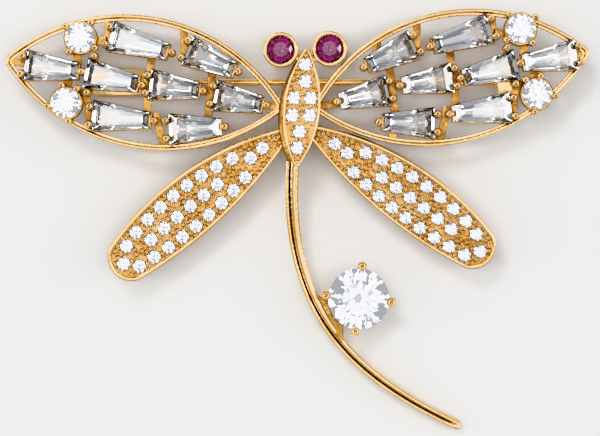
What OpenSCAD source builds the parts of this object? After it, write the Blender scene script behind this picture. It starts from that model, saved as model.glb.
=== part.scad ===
// Dragonfly brooch with open upper wings, pave lower wings, red eyes and a solitaire on its tail.
// It lies on its back with its face up. Lengths are in millimetres and angles in degrees.

/* [Upper wings] */
// Length of an upper wing from point to point
wing_l = 28.8; // [27.6:0.2:30]
// Greatest width of an upper wing
wing_w = 13.35; // [12.9:0.05:14]
// How much farther an upper wing's edge stands out over the line from point to point than half that width
left_wing_rise = 0.12; // [0:0.01:0.3]
right_wing_rise = 0.25; // [0:0.01:0.4]
// Upward turn of the left upper wing
left_wing_turn = 9.8; // [8:0.2:11]
// Upward turn of the right upper wing
right_wing_turn = 11.4; // [10:0.2:12.6]
// How deep the left upper wing's point runs into the body
left_wing_sink = 0.25; // [0.1:0.05:0.8]
// How deep the right upper wing's point runs into the body
right_wing_sink = 1; // [0.3:0.05:1.3]
// Width of the rim wall of an upper wing
wing_rim = 0.38; // [0.3:0.02:0.5]
// Width of the ledge at the foot of that wall
wing_ledge = 0.65; // [0.5:0.05:0.9]
// Height of that ledge
ledge_h = 0.5; // [0.4:0.05:0.8]
// Height of the rim wall with its ledge
wing_h = 1.1; // [1:0.05:1.2]
// How much farther out the right wing's stones are set than the left wing's
setting_shift = 0.75; // [0:0.05:1]
// How much higher they are set
setting_rise = 0.15; // [0:0.01:0.2]

/* [Lower wings] */
// Length of a lower wing's curves from point to point, before its tip is rounded
lower_l = 28.8; // [28:0.1:30]
// Rise of its leading edge over the line from point to point
lower_rise = 3.75; // [3.5:0.05:4.2]
// Drop of its trailing edge under that line
lower_drop = 2.42; // [2.2:0.02:2.7]
// Downward turn of the left lower wing
left_lower_turn = 39.9; // [38:0.2:43]
// Downward turn of the right lower wing
right_lower_turn = 36.6; // [35:0.2:40]
// Roll of the lower wings that lifts the leading edges
lower_roll = 9; // [0:0.5:14]
// Thickness of a lower wing
lower_h = 1.6; // [1.3:0.05:2]
// Radius of the circle that would round a lower wing's tip smoothly
lower_tip_r = 2.36; // [2.2:0.02:2.5]
// How much larger the tip's circle is cut
lower_tip_over = 0.06; // [0.04:0.01:0.12]

/* [Body and eyes] */
// Length of the body
body_l = 12.4; // [12:0.1:13.4]
// Greatest width of the body
body_w = 3.7; // [3.5:0.05:4.2]
// Lean of the body to the right
body_lean = 5; // [0:0.5:8]
// Height of the body
body_h = 2.4; // [2.2:0.05:2.6]
// Width of the rim round the body's stones
body_rim = 0.26; // [0.2:0.02:0.28]
// Width of the lower band along the body's left side
flank_w = 0.45; // [0.3:0.05:0.6]
// Height of that band
flank_h = 1.4; // [1.1:0.05:1.6]
// Distance between the centres of the eyes
eye_gap = 4.9; // [4.7:0.05:5.4]
// Outer diameter of an eye's bezel
eye_d = 3.56; // [3.3:0.02:3.8]
// Thickness of that bezel
eye_wall = 0.36; // [0.3:0.02:0.45]
// Height of that bezel
eye_h = 1.9; // [1.6:0.05:2.1]
// Width of the ledge under an eye's stone
eye_ledge = 0.5; // [0.4:0.05:0.6]
// Depth of an eye stone's girdle under the bezel's top
eye_sunk = 0.35; // [0.3:0.01:0.45]

/* [Tail] */
// Length of the tail down from the body, measured on its slope
tail_l = 26.8; // [25.5:0.1:28]
// Width of the tail where it leaves the body
tail_w = 1.35; // [1.2:0.05:1.6]
// Width of the tail at its tip
tail_tip_w = 0.95; // [0.8:0.05:1.2]
// Height of the tail's bar
tail_h = 1.1; // [0.9:0.05:1.4]
// Width of the groove along it
tail_groove = 0.16; // [0.12:0.02:0.3]
// Depth of that groove
tail_groove_h = 0.4; // [0.2:0.05:0.6]
// Distance from the tail's middle line to the middle of the solitaire
solitaire_out = 4.05; // [3.9:0.05:4.2]
// Width of the bracket that carries the solitaire's head
bracket_w = 1.3; // [1.1:0.05:1.6]
// Thickness of that bracket
bracket_h = 0.55; // [0.4:0.05:0.7]

/* [Stones] */
// Length of the longest tapered baguettes
baguette_l = 6; // [5.6:0.05:6.2]
// Width of a baguette's wide end
baguette_wide = 3.1; // [2.8:0.05:3.2]
// Width of a baguette's narrow end
baguette_narrow = 1.6; // [1.4:0.05:1.8]
// Height of a baguette's crown
baguette_crown = 0.42; // [0.3:0.02:0.5]
// Depth of a baguette's pavilion
baguette_pavilion = 1.15; // [0.9:0.05:1.2]
// Diameter of a wing's round stones
round_d = 3; // [2.8:0.05:3.1]
// Diameter of a pave stone
pave_d = 1.3; // [1.15:0.01:1.34]
// Diameter of the solitaire
solitaire_d = 6.1; // [5.6:0.1:6.4]
// Height of the solitaire's girdle
solitaire_z = 3.2; // [3.1:0.05:3.6]
// Thickness of a stone's girdle
girdle = 0.1; // [0.06:0.01:0.14]
// Gap between a stone and the metal that holds it
stone_gap = 0.05; // [0.03:0.01:0.07]

/* [Settings] */
// Diameter of a prong's wire
prong_d = 0.56; // [0.5:0.02:0.6]
// Diameter of a prong's bead
bead_d = 0.76; // [0.72:0.01:0.82]
// Diameter of the solitaire's prong wire
solitaire_prong_d = 0.7; // [0.6:0.05:0.8]
// Diameter of the solitaire's prong beads
solitaire_bead_d = 0.95; // [0.9:0.01:1.04]
// Width of the rails under a stone
rail = 0.4; // [0.34:0.02:0.5]
// Width of a gallery bar
bar_w = 0.8; // [0.6:0.05:1]
// Thickness of a gallery bar
bar_h = 0.4; // [0.3:0.02:0.4]
// Width of a lower wing's rim
pave_rim = 0.38; // [0.3:0.01:0.42]
// Height of the rims of the lower wings and the body over their floors
pave_rim_h = 0.2; // [0.1:0.02:0.26]
// Diameter of a pave grain
grain_d = 0.26; // [0.2:0.01:0.28]
// Distance from the outer rows' seats to the rim
row_gap = 0.1; // [0.08:0.01:0.2]
// Distance from stone to stone along a pave row
pave_pitch = 1.73; // [1.7:0.01:1.76]

/* [Pin] */
// Diameter of the pin stem
stem_d = 0.7; // [0.6:0.02:0.8]
// Length of the stem's straight part
stem_l = 37; // [34:0.5:38]
// Length of the stem's point
point_l = 2.6; // [2:0.1:3]
// Diameter of the stem's point at its end
point_d = 0.1; // [0.06:0.01:0.2]
// Distance from the hinge's axis to the end of the tapered neck
neck_l = 2.2; // [1.8:0.1:2.6]
// Diameter of the stem's eye at the hinge
knuckle_d = 1.5; // [1.4:0.05:1.6]
// Width of that eye
knuckle_w = 1; // [0.8:0.05:1.2]
// Diameter of the stem's tapered neck where it leaves that eye
neck_d = 1; // [0.9:0.02:1.1]
// Diameter of the hinge rivet
rivet_d = 0.6; // [0.5:0.02:0.7]
// Running clearance round the rivet in the stem's eye, on the radius
rivet_gap = 0.05; // [0.03:0.01:0.08]
// Clearance of the rivet in the ears and under its heads
rivet_seat = 0.03; // [0.02:0.01:0.05]
// Diameter of the rivet's heads
rivet_head_d = 1; // [0.9:0.02:1.1]
// Thickness of the rivet's heads
rivet_head_h = 0.2; // [0.16:0.02:0.26]
// Clearance between the stem's eye and each ear
side_gap = 0.06; // [0.04:0.01:0.08]
// Thickness of a hinge ear
ear_t = 0.55; // [0.45:0.05:0.7]
// Width of a hinge ear
ear_w = 1.7; // [1.5:0.05:2]
// How far the stem's end stands out of the catch
point_in_catch = 0.2; // [0.1:0.05:0.4]
// Inner diameter of the catch
catch_bore = 2.2; // [2.1:0.02:2.3]
// Width of the catch's mouth
catch_mouth = 1; // [0.9:0.02:1.2]
// Length of the catch
catch_l = 4; // [3:0.1:4.6]
// Width of the plate that carries the catch
catch_plate_w = 2.6; // [2.2:0.1:3]
// How far that plate reaches past each end of the catch
catch_plate_over = 1; // [0.6:0.1:1.4]
// How far the plate of the hinge reaches past its ears
hinge_plate_over = 0.2; // [0.1:0.05:0.4]
// Thickness of the plates that carry the hinge and the catch
back_plate_h = 0.4; // [0.3:0.02:0.44]

/* [Places] */
// Middle of the body
body_at = [0.45, 11.29];
// Roots of the left and the right lower wing, from the body's middle outwards
left_lower_root = [0.56, -1.51];
right_lower_root = [-0.16, -1.28];
// How far the eyes' middle stands to the right of the body's middle
eyes_right = 0.34; // [0.1:0.02:0.5]
// How far the tail's root stands to the left of the body's middle
tail_left = 0.87; // [0.6:0.01:1]
// Height of the pin stem's axis, which is also the outer radius of the catch
pin_z = 1.5; // [1.45:0.01:1.55]
// Height of the pin stem over the body's middle, as seen from the front
pin_up = 2.7; // [2.5:0.05:2.9]
// Distance from the body's middle to the hinge's axis
hinge_out = 20.75; // [20.2:0.05:21]
// Height of the underside of the upper wings
back_z = 2.8; // [2.8:0.02:2.9]
// Height of the underside of the body
body_z = 2.7; // [2.6:0.02:2.75]
// Height of the underside of the lower wings' line from point to point
lower_z = 2.1; // [2:0.05:2.3]
// Height of the underside of the tail where it leaves the body
tail_z = 3.3; // [3.1:0.05:3.5]
// Height of the wing stones' girdles
girdle_z = 4.5; // [4.5:0.02:4.7]

/* [Hidden] */
$fn = 48;
STONES = [1:8];
SIDES = [-1, 1];

gold = [0.88, 0.68, 0.4];
clear_white = [0.9, 0.92, 0.95];
red = [0.6, 0.02, 0.3];

wing_a = wing_l / 2;
wing_b = wing_w / 2;
bar_lift = 0.05;

// Columns: along and across in shares of half the wing's length and width, turn,
// length in shares of baguette_l, and whether the wide end's prongs stand beside its corners.
ALONG = 0;
ACROSS = 1;
TURN = 2;
LENGTH = 3;
CORNERS = 4;
baguettes = [
    [0.647, -0.006, -3, 0.9, false],
    [0.224, -0.01, 2, 0.91, true],
    [0.112, -0.565, -5, 0.98, false],
    [0.076, 0.572, 5.4, 1, false],
    [-0.434, 0.515, 12.9, 0.86, false],
    [-0.217, 0.022, -2.8, 0.84, false],
    [-0.67, 0, 1, 0.82, false],
    [-0.405, -0.525, -12.5, 0.87, false]
];

// Columns: along and across as above, then the angles of the four prongs.
rounds = [
    [0.49, 0.515, [27, 117, 206, 297]],
    [0.511, -0.49, [68, 118, 250, 341]]
];

// Columns: along and across of a gallery bar's two ends, in the same shares.
bars = [
    [0.51, 0.34, 0.475, 0.11],
    [0.527, -0.1, 0.527, -0.3],
    [0.4, 0.48, 0.3, 0.57],
    [0.42, -0.24, 0.34, -0.5],
    [0.325, 0.87, 0.28, 0.4],
    [0.358, -0.46, 0.31, -0.86],
    [-0.016, 0.42, -0.034, 0.05],
    [-0.01, 0.08, -0.06, -0.45],
    [-0.105, -0.4, -0.22, -0.92],
    [-0.206, 0.93, -0.254, 0.42],
    [-0.45, 0.38, -0.48, -0.36],
    [-0.5, 0.76, -0.53, 0.58],
    [-0.52, -0.6, -0.53, -0.73]
];

// The same for the bars at a wing's tip and root, which stay with the rim.
end_bars = [
    [0.84, 0, 0.965, 0],
    [-0.965, 0, -0.77, 0]
];

// The pave rows of a lower wing. Columns: where the row starts, in shares of the wing's length,
// its side (1 leading edge, 0 middle, -1 trailing edge) and its number of stones.
pave_rows = [
    [0.25, 1, 8],
    [0.347, 0, 6],
    [0.257, -1, 9]
];

// Single pave stones of a lower wing: along and across in shares of its length.
pave_singles = [
    [0.145, 0.0175],
    [0.199, 0.0175],
    [0.727, 0.059],
    [0.774, 0.018]
];

// The body's stones: along from its middle and across, in shares of its length and width.
body_stones = [
    [0.348, 0],
    [0.213, 0.04],
    [0.073, -0.225],
    [0.083, 0.225],
    [-0.068, -0.23],
    [-0.057, 0.235],
    [-0.192, 0],
    [-0.325, -0.02]
];

// Four points that steer the tail's curve, in shares of its length, from its root.
tail_curve = [[0, 0], [-0.037, -0.526], [0.172, -0.79], [0.616, -1]];
tail_steps = 18;

// Shapes shared by the wings and the body

// Radius of an arc over a line of length l that rises by h.
function arc_r(l, h) = (l * l / 4 + h * h) / (2 * h);

// Height over that line of the same arc moved in by d, at x along the line.
function arc_y(l, h, d, x) =
    sqrt(pow(arc_r(l, h) - d, 2) - pow(x - l / 2, 2)) - (arc_r(l, h) - h);

// A leaf between two arcs over the line from [0, 0] to [l, 0], all moved in by d.
module leaf(l, up, down, d = 0) {
    intersection() {
        translate([l / 2, up - arc_r(l, up)]) circle(r = arc_r(l, up) - d, $fn = 180);
        translate([l / 2, arc_r(l, down) - down]) circle(r = arc_r(l, down) - d, $fn = 180);
    }
}

// A flat bar w wide and h high between two points, with its foot at z.
module bar(from, to, w, z, h) {
    run = to - from;
    translate([from.x, from.y, z]) rotate(atan2(run.y, run.x))
        translate([0, -w / 2, 0]) cube([norm(run), w, h]);
}

// Stones

// A solid through rings of points with the same number of points in each.
module rings(r) {
    n = len(r[0]);
    last = len(r) - 1;
    polyhedron(
        points = [for (ring = r) each ring],
        faces = concat(
            [[for (i = [0:n - 1]) i]],
            [[for (i = [n - 1:-1:0]) last * n + i]],
            [for (k = [0:last - 1]) for (i = [0:n - 1])
                [k * n + i, (k + 1) * n + i, (k + 1) * n + (i + 1) % n, k * n + (i + 1) % n]]
        ),
        convexity = 2
    );
}

// A ring of n corners of radius r at height z.
function corners(n, r, z) = [for (i = [0:n - 1]) [r * cos(i * 360 / n), r * sin(i * 360 / n), z]];

// Heights of a round stone's crown and pavilion, and its table's width, in shares of its diameter.
crown_share = 0.16;
pavilion_share = 0.43;
table_share = 0.56;

// A round stone with its girdle's middle at z = 0.
module round_stone(d, sides) {
    rings([
        corners(sides, d * 0.02, -girdle / 2 - d * pavilion_share),
        corners(sides, d / 2, -girdle / 2),
        corners(sides, d / 2, girdle / 2),
        corners(sides, d * 0.39, girdle / 2 + d * crown_share * 0.6),
        corners(sides, d * table_share / 2, girdle / 2 + d * crown_share)
    ]);
}

// Four corners of a tapered outline, grown by side and end, with the wide end towards +X.
function tapered(l, side, end, z) =
    let (
        a = l / 2 + end,
        slope = (baguette_wide - baguette_narrow) / (2 * l),
        middle = (baguette_wide + baguette_narrow) / 4 + side,
        w = middle + slope * a,
        n = middle - slope * a
    )
    [[a, -w, z], [a, w, z], [-a, n, z], [-a, -n, z]];

// A tapered baguette with a step-cut crown and pavilion, its girdle's middle at z = 0.
module baguette(l) {
    rings([
        tapered(l, -baguette_narrow * 0.42, -baguette_wide * 0.36, -girdle / 2 - baguette_pavilion),
        tapered(l, -baguette_narrow * 0.2, -baguette_wide * 0.15, -girdle / 2 - baguette_pavilion * 0.6),
        tapered(l, 0, 0, -girdle / 2),
        tapered(l, 0, 0, girdle / 2),
        tapered(l, -baguette_narrow * 0.13, -baguette_wide * 0.09, girdle / 2 + baguette_crown * 0.6),
        tapered(l, -baguette_narrow * 0.27, -baguette_wide * 0.17, girdle / 2 + baguette_crown)
    ]);
}

// Places of the pieces

// Children are in an upper wing's own frame: its middle at the origin, its tip towards +X.
module at_wing(side) {
    turn = side > 0 ? right_wing_turn : left_wing_turn;
    sink = side > 0 ? right_wing_sink : left_wing_sink;
    translate(body_at) mirror([side > 0 ? 0 : 1, 0, 0])
        translate([body_w / 2 - sink, 0, 0]) rotate(turn) translate([wing_a, 0, 0]) children();
}

// The same, moved on to where the stones are set.
module at_settings(side) {
    at_wing(side) translate(side > 0 ? [setting_shift, setting_rise, 0] : [0, 0, 0]) children();
}

// Children are in a lower wing's own frame: its root at the origin, its tip towards +X.
module at_lower(side) {
    turn = side > 0 ? right_lower_turn : left_lower_turn;
    root = side > 0 ? right_lower_root : left_lower_root;
    translate([body_at.x, body_at.y, lower_z]) mirror([side > 0 ? 0 : 1, 0, 0])
        translate(root) rotate(-turn) rotate([lower_roll, 0, 0]) children();
}

// Children are in the body's own frame: its lower point at the origin, its head towards +X.
module at_body() {
    translate([body_at.x, body_at.y, body_z]) rotate(90 - body_lean)
        translate([-body_l / 2, 0, 0]) children();
}

function scaled(share) = [share.x * wing_a, share.y * wing_b];

// Upper wings

// The prongs of a baguette: their places round a stone of length l.
function prong_places(l, beside) =
    let (
        out = prong_d / 2 + stone_gap,
        spread = baguette_wide * 0.29
    )
    concat(
        beside
            ? [for (s = SIDES) [l / 2 - prong_d, s * (baguette_wide / 2 + out * 0.9)]]
            : [for (s = SIDES) [l / 2 + out, s * spread]],
        [[-l / 2 - out, 0]]
    );

bead_z = girdle_z + bead_d * 0.42;
prong_foot = back_z + 0.2;

// A prong of wire d that stands from z = foot up to a bead of diameter head, centred at z = top.
module prong(d, head, foot, top) {
    translate([0, 0, foot]) cylinder(d = d, h = top - foot);
    translate([0, 0, top]) sphere(d = head);
}

// Rails that follow the stone's first step, as high as its pavilion lets them be.
module cradle(l, beside) {
    places = prong_places(l, beside);
    step = baguette_narrow * 0.2;
    rail_top = girdle_z - girdle / 2 - baguette_pavilion * 0.6 - stone_gap;
    translate([0, 0, back_z]) linear_extrude(rail_top - back_z) difference() {
        union() {
            polygon([for (p = tapered(l, rail - step, rail - step, 0)) [p.x, p.y]]);
            for (p = places) translate(p) circle(d = prong_d * 1.5);
        }
        polygon([for (p = tapered(l, -step, -baguette_wide * 0.15, 0)) [p.x, p.y]]);
    }
    for (p = places) translate(p) prong(prong_d, bead_d, prong_foot, bead_z);
}

module collet(angles) {
    ring_top = girdle_z - girdle / 2 - round_d * pavilion_share * (rail + stone_gap) / (round_d / 2);
    translate([0, 0, back_z]) linear_extrude(ring_top - back_z) difference() {
        circle(d = round_d + prong_d * 0.7);
        circle(d = round_d - 2 * rail);
    }
    for (a = angles) rotate(a) translate([round_d / 2 + stone_gap + prong_d / 2, 0, 0])
        prong(prong_d, bead_d, prong_foot, bead_z);
}

module wing_outline(side, d) {
    rise = side > 0 ? right_wing_rise : left_wing_rise;
    intersection() {
        translate([-wing_a, 0]) leaf(wing_l, wing_b + rise, wing_b - rise, d);
        circle(r = wing_a - 0.3 - d, $fn = 180);
    }
}

module wing_bar(b) {
    bar(scaled([b[0], b[1]]), scaled([b[2], b[3]]), bar_w, back_z + bar_lift, bar_h);
}

module upper_wing(side) {
    at_wing(side) translate([0, 0, back_z]) {
        linear_extrude(wing_h) difference() {
            wing_outline(side, 0);
            wing_outline(side, wing_rim);
        }
        linear_extrude(ledge_h) difference() {
            wing_outline(side, 0);
            wing_outline(side, wing_ledge);
        }
    }
    at_settings(side) {
        for (s = baguettes) translate(scaled(s)) rotate(s[TURN]) cradle(s[LENGTH] * baguette_l, s[CORNERS]);
        for (r = rounds) translate(scaled(r)) collet(r[TURN]);
        for (b = bars) wing_bar(b);
    }
    at_wing(side) for (b = end_bars) wing_bar(b);
}

// Pave plates

seat_d = pave_d + 2 * stone_gap;
culet_d = pave_d * 0.6;
seat_h = pave_d * 0.3;
row_inset = pave_rim + seat_d / 2 + row_gap;

// Height of the girdles of pave stones in a plate h high.
function pave_z(h) = h - pave_rim_h + girdle / 2 + stone_gap;

// The places of a lower wing's stones, in its own frame.
function row_y(side, x) =
    let (
        upper = arc_y(lower_l, lower_rise, row_inset, x),
        lower = -arc_y(lower_l, lower_drop, row_inset, x)
    )
    side > 0 ? upper : side < 0 ? lower : (upper + lower) / 2;

lower_places = concat(
    [for (p = pave_singles) [p.x * lower_l, p.y * lower_l]],
    [for (r = pave_rows) for (i = [0:r[2] - 1])
        let (x = r[0] * lower_l + i * pave_pitch) [x, row_y(r[1], x)]]
);
body_places = [for (p = body_stones) [(p.x + 0.5) * body_l, -p.y * body_w]];

// Grains stand on both sides of each two neighbours, where no stone is in the way.
function grains(places) = [
    for (i = [1:len(places) - 1])
        let (
            a = places[i - 1],
            b = places[i],
            run = b - a,
            across = [-run.y, run.x] / norm(run)
        )
        if (norm(run) < pave_pitch * 1.4) for (s = SIDES)
            let (grain = (a + b) / 2 + s * across * pave_pitch * 0.36)
            if (min([for (p = places) norm(p - grain)]) > (seat_d + grain_d) / 2) grain
];

// A plate h high, over the outlines outer and inner that its two children draw: drilled through,
// seated for the stones, and with a rim and grains over its floor.
module pave_plate(h, places) {
    floor_z = h - pave_rim_h;
    linear_extrude(floor_z - seat_h) difference() {
        children(0);
        for (p = places) translate(p) circle(d = culet_d);
    }
    translate([0, 0, floor_z - seat_h]) linear_extrude(seat_h) difference() {
        children(0);
        for (p = places) translate(p) circle(d = seat_d);
    }
    translate([0, 0, floor_z]) linear_extrude(pave_rim_h) {
        difference() {
            children(0);
            children(1);
        }
        intersection() {
            children(0);
            for (p = grains(places)) translate(p) circle(d = grain_d);
        }
    }
}

// The middle of the circle of radius lower_tip_r that touches both arcs of a lower wing near its tip.
upper_arc = [lower_l / 2, lower_rise - arc_r(lower_l, lower_rise)];
lower_arc = [lower_l / 2, arc_r(lower_l, lower_drop) - lower_drop];
upper_reach = arc_r(lower_l, lower_rise) - lower_tip_r;
lower_reach = arc_r(lower_l, lower_drop) - lower_tip_r;
lower_tip_y = (pow(upper_reach, 2) - pow(lower_reach, 2) - pow(upper_arc.y, 2) + pow(lower_arc.y, 2))
    / (2 * (lower_arc.y - upper_arc.y));
lower_tip = [lower_l / 2 + sqrt(pow(upper_reach, 2) - pow(lower_tip_y - upper_arc.y, 2)), lower_tip_y];

module lower_outline(d) {
    intersection() {
        leaf(lower_l, lower_rise, lower_drop, d);
        union() {
            polygon([
                [-lower_l, lower_l],
                lower_tip + (lower_tip - upper_arc),
                lower_tip,
                lower_tip + (lower_tip - lower_arc),
                [-lower_l, -lower_l]
            ]);
            translate(lower_tip) circle(r = lower_tip_r + lower_tip_over - d);
        }
    }
}

module lower_wing(side) {
    at_lower(side) pave_plate(lower_h, lower_places) {
        lower_outline(0);
        lower_outline(pave_rim);
    }
}

// Body and eyes

// The body's leaf with blunt points.
module body_outline(d) {
    intersection() {
        leaf(body_l, body_w / 2, body_w / 2, d);
        translate([body_l / 2, 0]) circle(r = body_l / 2 - 0.3 - d);
    }
}

module body() {
    at_body() pave_plate(body_h, body_places) {
        body_outline(0);
        body_outline(body_rim);
    }
    at_body() translate([0, flank_w, back_z + 0.1 - body_z])
        linear_extrude(flank_h) leaf(body_l * 0.94, body_w / 2, body_w / 2);
}

// The middle of an eye, as seen from the front.
function eye_at(side) = [
    body_at.x + eyes_right + side * eye_gap / 2,
    body_at.y + body_l * 0.475 + side * 0.05
];

eye_bore = eye_d - 2 * eye_wall;
eye_stone_d = eye_bore - 2 * stone_gap;
eye_girdle_z = back_z + eye_h - eye_sunk;

module eye(side) {
    middle = eye_at(side);
    on_body = body_at + body_l * 0.39 * [sin(body_lean), cos(body_lean)] + [side * 0.35, 0];
    towards = (on_body - middle) / norm(on_body - middle);
    ledge_top = eye_girdle_z - girdle / 2 - eye_stone_d * pavilion_share * eye_ledge / (eye_stone_d / 2)
        - stone_gap;
    translate([middle.x, middle.y, back_z]) difference() {
        cylinder(d = eye_d, h = eye_h);
        translate([0, 0, ledge_top - back_z]) cylinder(d = eye_bore, h = eye_h);
        translate([0, 0, -1]) cylinder(d = eye_stone_d - 2 * eye_ledge, h = eye_h + 1);
    }
    bar(middle + towards * (eye_d / 2 - eye_wall), on_body, bar_w, back_z + 0.15, eye_h / 2);
}

// Tail

tail_root = [body_at.x - tail_left, body_at.y - body_l * 0.42];
tail_tilt = asin(tail_z / (tail_l + tail_tip_w / 2));

// A point of the tail's middle line and its unit normal towards the solitaire, in its own plane.
function tail_at(t) =
    let (c = tail_curve, s = 1 - t)
    tail_l * (s * s * s * c[0] + 3 * s * s * t * c[1] + 3 * s * t * t * c[2] + t * t * t * c[3]);
function tail_normal(t) =
    let (
        c = tail_curve,
        s = 1 - t,
        run = s * s * (c[1] - c[0]) + 2 * s * t * (c[2] - c[1]) + t * t * (c[3] - c[2])
    )
    [-run.y, run.x] / norm(run);
function tail_width(t) = tail_w + (tail_tip_w - tail_w) * t;

// The tail's groove, whose middle runs from nearer the left edge to the middle of the tip.
function groove_across(t) = tail_width(t) * (-0.2 + 0.2 * t);

// A strip of the tail between two functions' values across, given as lists for each step.
module tail_strip(left, right) {
    steps = [for (i = [0:tail_steps]) i / tail_steps];
    polygon(concat(
        [for (i = [0:tail_steps]) tail_at(steps[i]) + left[i] * tail_normal(steps[i])],
        [for (i = [tail_steps:-1:0]) tail_at(steps[i]) + right[i] * tail_normal(steps[i])]
    ));
}

module tail() {
    half = [for (i = [0:tail_steps]) tail_width(i / tail_steps) / 2];
    groove = [for (i = [0:tail_steps]) groove_across(i / tail_steps)];
    side = [for (i = [0:tail_steps]) tail_groove / 2];
    translate([tail_root.x, tail_root.y, tail_z]) rotate([tail_tilt, 0, 0]) difference() {
        linear_extrude(tail_h) {
            tail_strip(-half, half);
            translate(tail_at(1)) circle(d = tail_tip_w);
        }
        translate([0, 0, tail_h - tail_groove_h]) linear_extrude(tail_h)
            tail_strip(groove - side, groove + side);
    }
}

// Solitaire

// The same point as seen from the front.
function tail_plan(t) = tail_root + [tail_at(t).x, tail_at(t).y * cos(tail_tilt)];

solitaire_share = 0.483;
solitaire_at = tail_plan(solitaire_share) + solitaire_out * tail_normal(solitaire_share);
solitaire_turn = -6;

// Height of the head's slanted wires at a distance r from its middle: along under the pavilion.
head_slope = atan(2 * pavilion_share);
function head_z(r) =
    solitaire_z - girdle / 2 - solitaire_d * pavilion_share + r * tan(head_slope)
    - (solitaire_prong_d / 2 + 1.5 * stone_gap) / cos(head_slope);

module head_ring(r, d) {
    translate([0, 0, head_z(r)]) rotate_extrude() translate([r, 0]) circle(d = d);
}

module head_prong() {
    foot = solitaire_d * 0.21;
    elbow = (solitaire_d + solitaire_prong_d) / 2 + stone_gap;
    bead = elbow - solitaire_prong_d * 0.25;
    out = bead - solitaire_d / 2;
    bead_up = solitaire_z + girdle / 2 + sqrt(pow(solitaire_bead_d / 2 + stone_gap, 2) - out * out);
    translate([foot, 0, head_z(foot)]) rotate([0, 90 - head_slope, 0])
        cylinder(d = solitaire_prong_d, h = (elbow - foot) / cos(head_slope));
    translate([elbow, 0, head_z(elbow)]) sphere(d = solitaire_prong_d);
    translate([elbow, 0, head_z(elbow)]) cylinder(d = solitaire_prong_d, h = bead_up - head_z(elbow));
    translate([bead, 0, bead_up]) sphere(d = solitaire_bead_d);
}

module solitaire_head() {
    translate([solitaire_at.x, solitaire_at.y, 0]) rotate(solitaire_turn) {
        head_ring(solitaire_d * 0.21, 0.6);
        head_ring(solitaire_d * 0.39, 0.5);
        for (i = [0:3]) rotate(i * 90) head_prong();
    }
    from = tail_plan(solitaire_share - 0.1);
    to = tail_plan(solitaire_share + 0.1);
    run = to - from;
    translate([from.x, from.y, head_z(solitaire_d * 0.39) - bracket_h / 2]) rotate(atan2(run.y, run.x))
        linear_extrude(bracket_h) leaf(norm(run), bracket_w, 0.2);
}

// Pin, hinge and catch

pin_y = body_at.y + pin_up;
hinge_x = body_at.x + hinge_out;
point_x = hinge_x - neck_l - stem_l - point_l;
catch_x = point_x + point_in_catch;
ear_out = knuckle_w / 2 + side_gap + ear_t;

// Children are at a place along the pin stem's axis, with their +Z along it towards the point.
module on_stem(x) {
    translate([x, pin_y, pin_z]) rotate([0, -90, 0]) children();
}

// Children are at the hinge, turned so that their +Z is the hinge's axis.
module on_hinge() {
    translate([hinge_x, pin_y, pin_z]) rotate([90, 0, 0]) children();
}

module back_plate(x, w, d) {
    translate([x - w / 2, pin_y - d / 2, back_z - back_plate_h / 2]) cube([w, d, back_plate_h]);
}

module hinge() {
    back_plate(hinge_x, ear_w + 2 * hinge_plate_over, 2 * (ear_out + hinge_plate_over));
    on_hinge() difference() {
        for (s = SIDES) translate([0, 0, s * (ear_out - ear_t / 2) - ear_t / 2]) {
            translate([0, ear_w / 2 - pin_z, 0]) cylinder(d = ear_w, h = ear_t);
            translate([-ear_w / 2, ear_w / 2 - pin_z, 0]) cube([ear_w, back_z - ear_w / 2, ear_t]);
        }
        translate([0, 0, -ear_out - 1]) cylinder(d = rivet_d + 2 * rivet_seat, h = 2 * ear_out + 2);
    }
}

module catch() {
    back_plate(catch_x + catch_l / 2, catch_l + 2 * catch_plate_over, catch_plate_w);
    on_stem(catch_x + catch_l) difference() {
        cylinder(r = pin_z, h = catch_l);
        translate([0, 0, -1]) cylinder(d = catch_bore, h = catch_l + 2);
        translate([-2 * pin_z, -catch_mouth / 2, -1]) cube([2 * pin_z, catch_mouth, catch_l + 2]);
    }
}

module pin_stem() {
    color(gold) difference() {
        union() {
            on_hinge() translate([0, 0, -knuckle_w / 2]) cylinder(d = knuckle_d, h = knuckle_w);
            on_stem(hinge_x - rivet_d / 2) cylinder(d1 = neck_d, d2 = stem_d, h = neck_l - rivet_d / 2);
            on_stem(hinge_x - neck_l) cylinder(d = stem_d, h = stem_l);
            on_stem(hinge_x - neck_l - stem_l) cylinder(d1 = stem_d, d2 = point_d, h = point_l);
        }
        on_hinge() translate([0, 0, -knuckle_w]) cylinder(d = rivet_d + 2 * rivet_gap, h = 2 * knuckle_w);
    }
}

module hinge_rivet() {
    shank = ear_out + rivet_seat;
    color(gold) on_hinge() {
        translate([0, 0, -shank]) cylinder(d = rivet_d, h = 2 * shank);
        for (s = SIDES) translate([0, 0, s * (shank + rivet_head_h / 2) - rivet_head_h / 2])
            cylinder(d = rivet_head_d, h = rivet_head_h);
    }
}

// All the soldered metal

module gold_frame() {
    color(gold) {
        upper_wing(-1);
        upper_wing(1);
        lower_wing(-1);
        lower_wing(1);
        body();
        eye(-1);
        eye(1);
        tail();
        solitaire_head();
        hinge();
        catch();
    }
}

// Stones in their places

module wing_baguette(side, i) {
    s = baguettes[i - 1];
    color(clear_white) at_settings(side) translate(scaled(s)) rotate(s[TURN])
        translate([0, 0, girdle_z]) baguette(s[LENGTH] * baguette_l);
}

module wing_round(side, i) {
    color(clear_white) at_settings(side) translate(scaled(rounds[i - 1]))
        translate([0, 0, girdle_z]) round_stone(round_d, 16);
}

module eye_stone(side) {
    color(red) translate([eye_at(side).x, eye_at(side).y, eye_girdle_z]) round_stone(eye_stone_d, 16);
}

module solitaire_stone() {
    color(clear_white) translate([solitaire_at.x, solitaire_at.y, solitaire_z])
        rotate(solitaire_turn) round_stone(solitaire_d, 24);
}

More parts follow.
